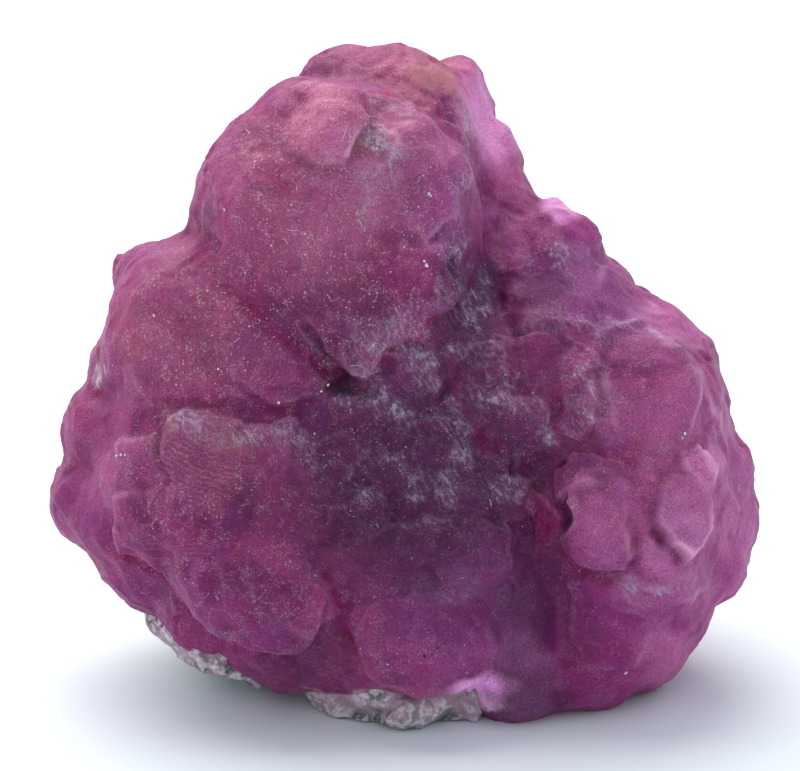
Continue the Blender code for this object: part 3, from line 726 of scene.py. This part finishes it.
def make_crust():
    crust = fine_copy("sphaerocobaltite", "crystal_crust", CRUST_VOXEL, 8, melt_lobes)
    thin_the_back(crust, CRUST_TRIANGLES)
    surface = Surface(crust.data)
    normals = surface.normals()
    display = surface.display()
    face = display[:, :2]
    facing = smoothstep(-0.1, 0.5, normals @ OUT)
    front = facing * smoothstep(-8.0, -1.5, display[:, 2])
    calm = facing * spread(face, CALM)
    wobble = np.stack([lattice_noise(surface.points, 0.9, 5), lattice_noise(surface.points, 0.9, 9)], 1)
    fine_wobble = np.stack([lattice_noise(surface.points, 0.35, 6), lattice_noise(surface.points, 0.35, 8)], 1)
    ragged = 0.45 + 0.55 * smoothstep(-0.5, 0.4, lattice_noise(surface.points, 1.3, 13))
    uneven = 0.20 * wobble + 0.10 * fine_wobble
    lift = np.zeros(len(face))
    rim = np.zeros(len(face))
    for corners, height, degrees in PLATES.values():
        depth = inside(face + uneven, corners)
        stands = facing * standing_out(face, corners, degrees)
        lift += height * ragged * stands * smoothstep(-PLATE_EDGE / 2, PLATE_EDGE / 2, depth)
        # The rim band runs along each plate's raised edge; the material paints a highlight on it
        rim = np.maximum(rim, ragged * stands * (1.0 - smoothstep(0.0, RIM_WIDTH, np.abs(depth - PLATE_EDGE))))
    gap = np.zeros(len(face))
    for corners, depth, width in SEAMS.values():
        gap = np.maximum(gap, depth * facing * seam(face + 0.35 * wobble, corners, width))
    gap *= 0.75 + 0.35 * lattice_noise(surface.points, 1.4, 17)
    # Lines of frosting and painted sheen along the ledges
    ledge_frost_and_sheen = np.zeros(len(face))
    for corners, width in FROSTED.values():
        ledge_frost_and_sheen = np.maximum(ledge_frost_and_sheen, facing * seam(face + 0.35 * wobble + 0.20 * fine_wobble, corners, 2.4 * width))
    cracked = np.zeros(len(face))
    for corners, width in CRACKS.values():
        cracked = np.maximum(cracked, facing * seam(face + 0.30 * wobble, corners, width))
    cracked *= 0.7 + 0.5 * lattice_noise(surface.points, 0.9, 19)
    seen = smoothstep(-0.6, 0.1, normals @ OUT)
    moved = seen * (spread(face, SWELLS) - spread(face, HOLLOWS))
    tints = {tint: seen * spread(face + 0.5 * wobble, places) for tint, places in TINTS.items()}
    for tint in ("frost_and_sheen", "chalk", "white", "painted_gap_shadow", "dust"):
        tints[tint] *= facing
    rough = 0.33 + 0.60 * facing * spread(face + 0.5 * wobble, RUGGED)
    rough *= 1.0 - calm
    rough += 0.45 * (1.0 - seen)
    warped = surface.points + 0.25 * np.stack([wobble[:, 0], wobble[:, 1], -wobble[:, 0]], 1)
    lift += 0.12 * fractal(surface.points, 2.2, 21) - gap + moved + 0.12 * ledge_frost_and_sheen - 0.12 * cracked
    lift += rough * shingles(warped, 2.6, 0.15, 2)
    lift += rough * shingles(warped, 1.3, 0.14, 3)
    lift += 0.08 * rough * crystal_relief(surface.points, normals, 0.6, 0.9, 4)
    lift += 0.04 * rough * fractal(surface.points, 0.45, 31, 2)
    lift = surface.blurred(lift, 1)
    surface.points += (lift - 0.02)[:, None] * normals
    fine_normals = surface.normals()
    tilt_up = (fine_normals - surface.blurred(fine_normals, 30))[:, 2]
    broad = surface.relief(40)
    tints["rim"] = rim
    # Small faces tilted upward, where the material paints a sheen as if lit from the top
    tints["ledge"] = smoothstep(0.02, 0.35, tilt_up)
    # Small faces tilted downward, which the material paints darker as shade
    tints["under"] = smoothstep(0.02, 0.40, -tilt_up)
    # Painted shade in the recesses and seams
    tints["hollow_shade"] = np.maximum(smoothstep(0.02, 0.40, -broad), np.minimum(1.0, 1.2 * gap))
    tints["ledge_frost_and_sheen"] = ledge_frost_and_sheen
    tints["cracked"] = np.clip(cracked, 0.0, 1.0)
    # Faces turned from the camera, which the material paints as a darker, deeper magenta shade at the edges
    tints["turned_away_shade"] = 1.0 - smoothstep(0.0, 0.55, normals @ OUT)
    tints["arc"] = np.linalg.norm(face - ARC_CENTRE, axis=1)
    tints["front"] = front
    surface.write(tints)
    return crust


def make_rock(crust):
    rock = fine_copy("matrix", "host_rock", ROCK_VOXEL, 4)
    surface = Surface(rock.data)
    normals = surface.normals()
    covering = Surface(crust.data)
    tree = bvhtree.BVHTree.FromPolygons(covering.points.tolist(), covering.triangles.tolist())
    away = np.array([tree.find_nearest(point)[3] for point in surface.points])
    contact = 1.0 - smoothstep(0.5, 1.8, away)
    resting = smoothstep(0.02, 0.4, surface.points[:, 2])
    lift = 0.20 * fractal(surface.points, 1.8, 41) + shingles(surface.points, 1.8, 0.22, 7)
    lift += 0.16 * crystal_relief(surface.points, normals, 0.9, 0.9, 6)
    surface.points += (resting * (lift - 0.10 + CLEARANCE * contact))[:, None] * normals
    surface.write({"ridge": smoothstep(0.0, 0.05, surface.relief(4)), "contact": contact})
    return rock


def landed(tree, across, up):
    """Where a line straight into the face meets the crust, in the piece's millimetres."""
    start = TO_WORLD @ Vector((across, up, 40.0))
    hit = tree.ray_cast(start / MM, -Vector(OUT).normalized())
    return hit[0], hit[1]


def add_flecks(bm, tree, flecks, rng):
    for across, up, size in flecks:
        place, normal = landed(tree, across, up)
        made = bmesh.ops.create_icosphere(bm, subdivisions=1, radius=1.0)["verts"]
        tip = normal.to_track_quat("Z", "Y")
        for vert in made:
            shape = Vector(vert.co) * size * rng.uniform(0.6, 1.2)
            vert.co = (place + tip @ Vector((shape.x, shape.y, 0.5 * shape.z + 0.2 * size))) * MM


def add_lint(bm, tree):
    """Thin three-sided threads that follow the surface."""
    steps = 6
    for across, up, degrees, length, bend in LINT:
        rings = []
        for step in range(steps + 1):
            along = length * step / steps
            turn = math.radians(degrees) + bend * (step / steps - 0.5)
            place, normal = landed(tree, across + along * math.cos(turn), up + along * math.sin(turn))
            side = normal.orthogonal().normalized()
            lifted = place + normal * 0.5 * LINT_RADIUS
            ring = [
                bm.verts.new((lifted + LINT_RADIUS * (math.cos(a) * side + math.sin(a) * normal.cross(side))) * MM)
                for a in (0.0, 2.1, 4.2)
            ]
            rings.append(ring)
        for low, high in zip(rings, rings[1:]):
            for i in range(3):
                bm.faces.new((low[i], low[(i + 1) % 3], high[(i + 1) % 3], high[i]))
        bm.faces.new(rings[0][::-1])
        bm.faces.new(rings[-1])


class Value:
    """A number or colour that a node tree works out. Values add, subtract and multiply like numbers."""

    def __init__(self, nodes, socket):
        self.nodes = nodes
        self.socket = socket

    def math(self, operation, first, second=0.0):
        return self.nodes.node("ShaderNodeMath", {"operation": operation}, {0: first, 1: second})

    def __add__(self, other):
        return self.math("ADD", self, other)

    __radd__ = __add__

    def __mul__(self, other):
        return self.math("MULTIPLY", self, other)

    __rmul__ = __mul__

    def __sub__(self, other):
        return self.math("SUBTRACT", self, other)

    def __rsub__(self, other):
        return self.math("SUBTRACT", other, self)

    def sine(self):
        return self.math("SINE", self)

    def above(self, low, high):
        """0 below low, 1 above high, and a soft step between."""
        settings = {"interpolation_type": "SMOOTHSTEP"}
        return self.nodes.node("ShaderNodeMapRange", settings, {"Value": self, "From Min": low, "From Max": high})


class Nodes:
    """A node tree that is filled by calls."""

    def __init__(self, tree):
        self.tree = tree

    def feed(self, socket, value):
        if isinstance(value, Value):
            self.tree.links.new(value.socket, socket)
        else:
            socket.default_value = value

    def node(self, kind, settings=None, inputs=None, out=0):
        made = self.tree.nodes.new(kind)
        for key, value in (settings or {}).items():
            setattr(made, key, value)
        for key, value in (inputs or {}).items():
            self.feed(made.inputs[key], value)
        return Value(self, made.outputs[out])


class Shade(Nodes):
    """One material and its node tree."""

    def __init__(self, name):
        self.material = bpy.data.materials.new(name)
        self.material.use_nodes = True
        super().__init__(self.material.node_tree)
        self.shader = self.tree.nodes["Principled BSDF"]
        self.place = self.node("ShaderNodeTexCoord", out="Object")

    def attribute(self, name):
        return self.node("ShaderNodeAttribute", {"attribute_name": name}, out="Fac")

    def turned(self, degrees, scale):
        """The place on the piece, turned in the face and stretched."""
        inputs = {"Vector": self.place, "Rotation": (0.0, math.radians(degrees), 0.0), "Scale": scale}
        return self.node("ShaderNodeMapping", {"vector_type": "TEXTURE"}, inputs)

    def noise(self, size, detail=3.0, distortion=0.0, place=None):
        inputs = {"Scale": 1.0 / (size * MM), "Detail": detail, "Distortion": distortion}
        inputs["Vector"] = place or self.place
        return self.node("ShaderNodeTexNoise", None, inputs)

    def grains(self, size, out="Distance"):
        inputs = {"Vector": self.place, "Scale": 1.0 / (size * MM)}
        return self.node("ShaderNodeTexVoronoi", None, inputs, out)

    def facets(self, size):
        """The height of small flat faces that each lean their own way, in millimetres."""
        inputs = {"Vector": self.place, "Scale": 1.0 / (size * MM)}
        middle = self.node("ShaderNodeTexVoronoi", None, inputs, "Position")
        away = self.node("ShaderNodeVectorMath", {"operation": "SUBTRACT"}, {0: self.place, 1: middle})
        inputs = {0: self.grains(size, "Color"), 1: (0.5, 0.5, 0.5)}
        lean = self.node("ShaderNodeVectorMath", {"operation": "SUBTRACT"}, inputs)
        return self.node("ShaderNodeVectorMath", {"operation": "DOT_PRODUCT"}, {0: away, 1: lean}, "Value") * (1.0 / MM)

    def mix(self, amount, first, second):
        return self.node("ShaderNodeMix", {"data_type": "RGBA"}, {0: amount, 6: first, 7: second}, out=2)

    def scaled(self, colour, amount):
        grey = self.node("ShaderNodeCombineColor", None, {0: amount, 1: amount, 2: amount})
        settings = {"data_type": "RGBA", "blend_type": "MULTIPLY"}
        return self.node("ShaderNodeMix", settings, {0: 1.0, 6: colour, 7: grey}, out=2)

    def uniform(self, **values):
        for key, value in values.items():
            self.shader.inputs[key.replace("_", " ")].default_value = value

    def finish(self, colour, roughness, height, bump):
        self.feed(self.shader.inputs["Base Color"], colour)
        self.feed(self.shader.inputs["Roughness"], roughness)
        normal = self.node("ShaderNodeBump", None, {"Strength": bump, "Distance": 0.1 * MM, "Height": height})
        self.feed(self.shader.inputs["Normal"], normal)
        return self.material


def rgb(red, green, blue):
    return (red, green, blue, 1.0)


def scatter_tree():
    """Geometry nodes that strew grains over a surface, more of them where its dust is thick."""
    tree = bpy.data.node_groups.new("strewn dust", "GeometryNodeTree")
    tree.interface.new_socket("Surface", in_out="INPUT", socket_type="NodeSocketGeometry")
    for name, kind in SCATTER_INPUTS.items():
        tree.interface.new_socket(name, in_out="INPUT", socket_type=kind)
    tree.interface.new_socket("Grains", in_out="OUTPUT", socket_type="NodeSocketGeometry")
    nodes = Nodes(tree)
    given = tree.nodes.new("NodeGroupInput").outputs
    given = {socket.name: Value(nodes, socket) for socket in given if socket.name}
    dust = nodes.node("GeometryNodeInputNamedAttribute", {"data_type": "FLOAT"}, {"Name": "dust"}, "Attribute")
    inputs = {"Mesh": given["Surface"], "Density": (dust + BARE_DUST) * given["Density"], "Seed": given["Seed"]}
    places = nodes.node("GeometryNodeDistributePointsOnFaces", None, inputs, "Points")
    rotation = Value(nodes, places.socket.node.outputs["Rotation"])
    angle = nodes.node("FunctionNodeRandomValue", {"data_type": "FLOAT"}, {2: 0.0, 3: 2.0 * math.pi, "Seed": 1}, 1)
    spin = nodes.node("FunctionNodeAxisAngleToRotation", None, {"Axis": (0.0, 0.0, 1.0), "Angle": angle})
    inputs = {"Rotation": rotation, "Rotate By": spin}
    rotation = nodes.node("FunctionNodeRotateRotation", {"rotation_space": "LOCAL"}, inputs)
    inputs = {0: given["Smallest"], 1: given["Largest"], "Seed": 2}
    size = nodes.node("FunctionNodeRandomValue", {"data_type": "FLOAT_VECTOR"}, inputs)
    grain = nodes.node("GeometryNodeMeshIcoSphere", None, {"Radius": 1.0, "Subdivisions": 1})
    inputs = {"Points": places, "Instance": grain, "Rotation": rotation, "Scale": size}
    strewn = nodes.node("GeometryNodeInstanceOnPoints", None, inputs)
    strewn = nodes.node("GeometryNodeRealizeInstances", None, {"Geometry": strewn})
    strewn = nodes.node("GeometryNodeSetMaterial", None, {"Geometry": strewn, "Material": given["Material"]})
    nodes.feed(tree.nodes.new("NodeGroupOutput").inputs["Grains"], strewn)
    return tree


def strewn_over(crust, tree, material, density, smallest, largest, seed):
    """The grains that the tree strews over the crust, as a plain mesh."""
    obj = bpy.data.objects.new("strewn", crust.data.copy())
    bpy.context.scene.collection.objects.link(obj)
    strew = obj.modifiers.new("strew", "NODES")
    strew.node_group = tree
    values = {
        "Density": density / MM**2, "Smallest": [size * MM for size in smallest],
        "Largest": [size * MM for size in largest], "Seed": seed, "Material": material,
    }
    for socket in tree.interface.items_tree:
        if socket.name in values:
            strew[socket.identifier] = values[socket.name]
    graph = bpy.context.evaluated_depsgraph_get()
    mesh = bpy.data.meshes.new_from_object(obj.evaluated_get(graph))
    bpy.data.objects.remove(obj)
    return mesh


def make_dust(crust):
    """Pale flecks and threads, and the black grains, that lie on the crystals."""
    surface = Surface(crust.data)
    tree = bvhtree.BVHTree.FromPolygons(surface.points.tolist(), surface.triangles.tolist())
    rng = np.random.default_rng(8)
    pale = dust_material("pale dust", rgb(0.60, 0.50, 0.52), rgb(0.90, 0.86, 0.85))
    black = dust_material("black grains", rgb(0.012, 0.006, 0.010), rgb(0.03, 0.012, 0.022))
    strewn = scatter_tree()
    pieces = []
    for name, flecks, material in (("dust_flecks", FLECKS, pale), ("black_grains", GRAINS, black)):
        bm = bmesh.new()
        add_flecks(bm, tree, flecks, rng)
        if flecks is FLECKS:
            add_lint(bm, tree)
            for kind in STREWN.values():
                bm.from_mesh(strewn_over(crust, strewn, pale, *kind))
        bmesh.ops.recalc_face_normals(bm, faces=bm.faces)
        mesh = bpy.data.meshes.new(name)
        bm.to_mesh(mesh)
        bm.free()
        mesh.materials.append(material)
        piece = bpy.data.objects.new(name, mesh)
        bpy.context.scene.collection.objects.link(piece)
        pieces.append(piece)
    return pieces


def crust_material():
    shade = Shade("sphaerocobaltite crystal")
    front = shade.attribute("front")
    rim = shade.attribute("rim")
    ledge = shade.attribute("ledge")
    ledge_frost_and_sheen = shade.attribute("ledge_frost_and_sheen")
    dust = shade.attribute("dust")
    mottle = shade.noise(2.2, 5.0, 0.6)
    fine = shade.noise(0.40, 4.0, 0.3)
    grain = shade.noise(0.085, 2.0)
    salt = grain.above(0.50, 0.66)
    colour = shade.mix(mottle.above(0.38, 0.62), rgb(0.185, 0.022, 0.104), rgb(0.315, 0.055, 0.180))
    # lit is 1 outside the painted shade of the plum tint and lower inside it
    lit = 1.0 - 0.8 * shade.attribute("plum_and_shade")
    colour = shade.mix(shade.noise(1.5, 5.0).above(0.50, 0.64) * 0.5 * lit, colour, rgb(0.35, 0.040, 0.140))
    colour = shade.mix(shade.noise(1.9, 5.0).above(0.52, 0.66) * 0.6, colour, rgb(0.235, 0.040, 0.195))
    # Salmon tone with painted top light on the crown
    colour = shade.mix(shade.attribute("salmon_and_top_light") * (0.3 + shade.noise(1.3, 4.0)), colour, rgb(0.475, 0.135, 0.220))
    clear = shade.noise(1.2, 5.0).above(0.52, 0.62) * lit
    colour = shade.mix(clear * 0.45, colour, rgb(0.32, 0.018, 0.145))
    colour = shade.mix(shade.attribute("purple") * 0.8, colour, rgb(0.265, 0.028, 0.190))
    # A paler rose tone, with painted light on thin edges lit through from behind
    colour = shade.mix(shade.attribute("pink_and_shine_through") * 0.85, colour, rgb(0.62, 0.19, 0.42))
    # A lilac-grey tone, and at the bottom a painted reflection of the floor
    colour = shade.mix(shade.attribute("lilac") * 0.7, colour, rgb(0.30, 0.13, 0.30))
    # A darker wine tone with painted shade over the thick middle and under overhangs
    colour = shade.mix(shade.attribute("plum_and_shade") * 0.85, colour, rgb(0.066, 0.012, 0.056))
    colour = shade.mix(shade.attribute("deep") * 0.7, colour, rgb(0.22, 0.012, 0.095))
    # Painted shade: a deeper, darker magenta on faces turned from the camera
    colour = shade.mix(shade.attribute("turned_away_shade") * 0.35, colour, rgb(0.26, 0.020, 0.130))
    # Painted shade, darker in recesses and seams
    colour = shade.mix(shade.attribute("hollow_shade") * 0.55, colour, rgb(0.11, 0.006, 0.060))
    # Painted shade on small faces that tilt downward
    colour = shade.mix(shade.attribute("under") * 0.30, colour, rgb(0.14, 0.008, 0.080))
    colour = shade.mix(shade.attribute("cracked") * 0.85, colour, rgb(0.22, 0.006, 0.080))
    # Painted light: a pale rose glow where thin crystal would be lit through
    colour = shade.mix(shade.attribute("painted_glow") * 0.9, colour, rgb(0.95, 0.42, 0.85))
    colour = shade.scaled(colour, 0.12 + 0.26 * fine + 1.50 * grain)
    veil = shade.noise(0.6, 5.0).above(0.46, 0.62) * (0.15 + 1.3 * salt) * (0.45 + 0.55 * front)
    veil = veil * (0.2 + 0.8 * lit) * (0.35 + 0.75 * dust)
    colour = shade.mix(veil * 0.42, colour, rgb(0.52, 0.31, 0.39))
    # A painted highlight along the raised rims of the plates, in rose where the rose tint lies
    colour = shade.mix(rim * shade.attribute("pink_and_shine_through") * 0.9, colour, rgb(0.88, 0.46, 0.66))
    growth = (0.5 + 0.5 * (shade.attribute("arc") * (2.0 * math.pi / ARC_SPACING) + 12.0 * fine).sine()).above(0.55, 1.0)
    growth = growth * shade.attribute("growth lines") * shade.noise(0.5, 3.0).above(0.40, 0.60)
    colour = shade.mix(growth * 0.22, colour, rgb(0.60, 0.36, 0.46))
    cloud = shade.noise(1.1, 5.0).above(0.46, 0.62)
    strokes = shade.noise(0.17, 3.0, 0.0, shade.turned(62.0, (2.6, 1.0, 1.0))).above(0.42, 0.66)
    # Frosting with a painted sheen: the ledge and rim terms lighten upward-facing faces and plate rims
    frost_and_sheen = shade.attribute("frost_and_sheen") * (0.05 + 0.15 * ledge + 0.8 * strokes * cloud)
    frost_and_sheen = frost_and_sheen + (1.0 - front) * cloud * (0.10 + 0.35 * strokes)
    frost_and_sheen = frost_and_sheen + ledge_frost_and_sheen * (0.22 + 0.85 * strokes) * (0.5 + 0.8 * cloud) + ledge * cloud * 0.12 + rim * 0.35 * (0.4 + strokes)
    frost_and_sheen = frost_and_sheen * (0.60 + 0.60 * salt)
    colour = shade.mix(frost_and_sheen * 0.64, colour, rgb(0.42, 0.35, 0.46))
    crumbs = shade.noise(0.30, 4.0, 0.4).above(0.44, 0.58)
    chalk = shade.attribute("chalk") * (0.10 + 0.75 * crumbs * cloud + 0.35 * strokes) * (0.4 + 0.9 * salt)
    colour = shade.mix(chalk, colour, rgb(0.55, 0.46, 0.48))
    colour = shade.mix(shade.attribute("white") * (0.3 + 0.7 * strokes), colour, rgb(0.72, 0.60, 0.66))
    # Yellowish spots of the crystal, and on the top cap painted top light
    colour = shade.mix(shade.attribute("yellow") * 0.4, colour, rgb(0.45, 0.22, 0.15))
    # A painted black shadow in the gap under the apron
    colour = shade.mix(shade.attribute("painted_gap_shadow") * 0.9, colour, rgb(0.02, 0.006, 0.015))
    dusty = (dust + 0.4 * (1.0 - front)) * (0.10 + 1.0 * shade.noise(1.3, 4.0).above(0.45, 0.62))
    level = shade.noise(0.62, 2.0) - 0.5
    scratch = (1.0 - (level * level).above(0.0, 0.00016)) * shade.noise(0.33, 2.0).above(0.54, 0.62)
    colour = shade.mix(scratch * dusty * 0.6, colour, rgb(0.72, 0.52, 0.60))
    for size, low, high, rare, strength in SPECKS:
        pick = shade.node("ShaderNodeSeparateColor", None, {0: shade.grains(size, "Color")})
        speck = (1.0 - shade.grains(size).above(low, high)) * pick.above(rare, 1.0) * dusty
        colour = shade.mix(speck * strength, colour, rgb(0.84, 0.76, 0.74))
    shade.uniform(Subsurface_Weight=0.60, Subsurface_Radius=(1.0, 0.25, 0.65), Subsurface_Scale=0.6 * MM, IOR=1.40)
    shade.uniform(Specular_IOR_Level=0.20)
    height = 0.5 * shade.noise(0.14, 3.0) + 0.2 * shade.grains(0.2) + 0.5 * fine
    height = height + 3.0 * shade.facets(0.45) + 3.0 * shade.facets(0.16)
    return shade.finish(colour, 0.36 + 0.25 * fine + 0.2 * frost_and_sheen, height, 0.42)


def dust_material(name, low, high):
    shade = Shade(name)
    patches = shade.noise(0.08, 3.0)
    colour = shade.mix(patches.above(0.35, 0.65), low, high)
    return shade.finish(colour, 0.7 + 0.1 * patches, patches, 0.2)


def rock_material():
    shade = Shade("pale host rock")
    patches = shade.noise(2.4, 6.0, 0.3)
    fine = shade.noise(0.35, 4.0, 0.2)
    grain = shade.noise(0.10, 2.0)
    colour = shade.mix(patches.above(0.40, 0.62), rgb(0.10, 0.115, 0.10), rgb(0.28, 0.285, 0.275))
    colour = shade.mix(shade.noise(0.8, 5.0, 0.3).above(0.54, 0.66), colour, rgb(0.60, 0.585, 0.58))
    streaks = shade.noise(1.1, 5.0, 0.3, shade.turned(20.0, (1.6, 1.0, 1.0)))
    colour = shade.mix(streaks.above(0.56, 0.66), colour, rgb(0.07, 0.08, 0.07))
    stain = shade.attribute("contact") * shade.noise(1.4, 4.0).above(0.30, 0.60)
    colour = shade.mix(stain * 0.75, colour, rgb(0.56, 0.34, 0.45))
    colour = shade.mix(shade.attribute("ridge") * fine.above(0.45, 0.6) * 0.5, colour, rgb(0.80, 0.78, 0.79))
    colour = shade.scaled(colour, 0.30 + 0.50 * fine + 0.90 * grain)
    shade.uniform(Subsurface_Weight=0.15, Subsurface_Radius=(1.0, 1.0, 1.0), Subsurface_Scale=0.3 * MM)
    shade.uniform(Specular_IOR_Level=0.25)
    height = 0.6 * shade.noise(0.3, 4.0) + 0.4 * shade.grains(0.25) + 0.3 * grain
    return shade.finish(colour, 0.66 + 0.2 * patches, height, 0.6)


def floor_material():
    shade = Shade("white paper")
    tone = shade.noise(60.0, 2.0)
    colour = shade.mix(tone, rgb(0.88, 0.945, 0.985), rgb(0.90, 0.955, 0.99))
    return shade.finish(colour, 0.9 + 0.0 * tone, tone, 0.0)


def add_floor():
    bm = bmesh.new()
    bmesh.ops.create_grid(bm, x_segments=1, y_segments=1, size=1.5)
    mesh = bpy.data.meshes.new("floor")
    bm.to_mesh(mesh)
    bm.free()
    mesh.materials.append(floor_material())
    floor = bpy.data.objects.new("floor", mesh)
    bpy.context.scene.collection.objects.link(floor)


def aimed(obj, place, target):
    obj.location = place
    obj.rotation_mode = "QUATERNION"
    obj.rotation_quaternion = (Vector(target) - Vector(place)).to_track_quat("-Z", "Y")
    bpy.context.scene.collection.objects.link(obj)
    return obj


def add_camera():
    data = bpy.data.cameras.new("camera")
    data.sensor_width = 36.0
    data.lens = 36.0 * CAMERA_DISTANCE / PHOTO_WIDTH
    target = TO_WORLD @ Vector(AIM)
    away = Vector((0.0, -math.cos(DISPLAY_LEAN), math.sin(DISPLAY_LEAN)))
    camera = aimed(bpy.data.objects.new("camera", data), target + away * CAMERA_DISTANCE, target)
    bpy.context.scene.camera = camera


def add_light(name, place, size, watts, colour=(1.0, 1.0, 1.0)):
    data = bpy.data.lights.new(name, "AREA")
    data.shape = "DISK"
    data.size = size
    data.energy = watts
    data.color = colour
    aimed(bpy.data.objects.new(name, data), place, (0.0, 0.0, 0.012))


def add_world(strength):
    world = bpy.data.worlds.new("studio")
    bpy.context.scene.world = world
    world.use_nodes = True
    background = world.node_tree.nodes["Background"]
    background.inputs["Color"].default_value = (0.90, 0.96, 1.04, 1.0)
    background.inputs["Strength"].default_value = strength


def main():
    add_camera()
    bpy.context.scene.view_settings.view_transform = "Standard"
    add_world(0.73)
    add_light("top left", (-0.05, 0.12, 0.20), 0.28, 0.66, (1.0, 0.975, 0.94))
    add_floor()
    crust = make_crust()
    crust.data.materials.clear()
    crust.data.materials.append(crust_material())
    rock = make_rock(crust)
    rock.data.materials.clear()
    rock.data.materials.append(rock_material())
    dust, grains = make_dust(crust)
    for piece in (dust, grains):
        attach(piece, "root")
    for piece, node in ((crust, "sphaerocobaltite"), (rock, "matrix")):
        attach(piece, "root")
        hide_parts(node)


main()
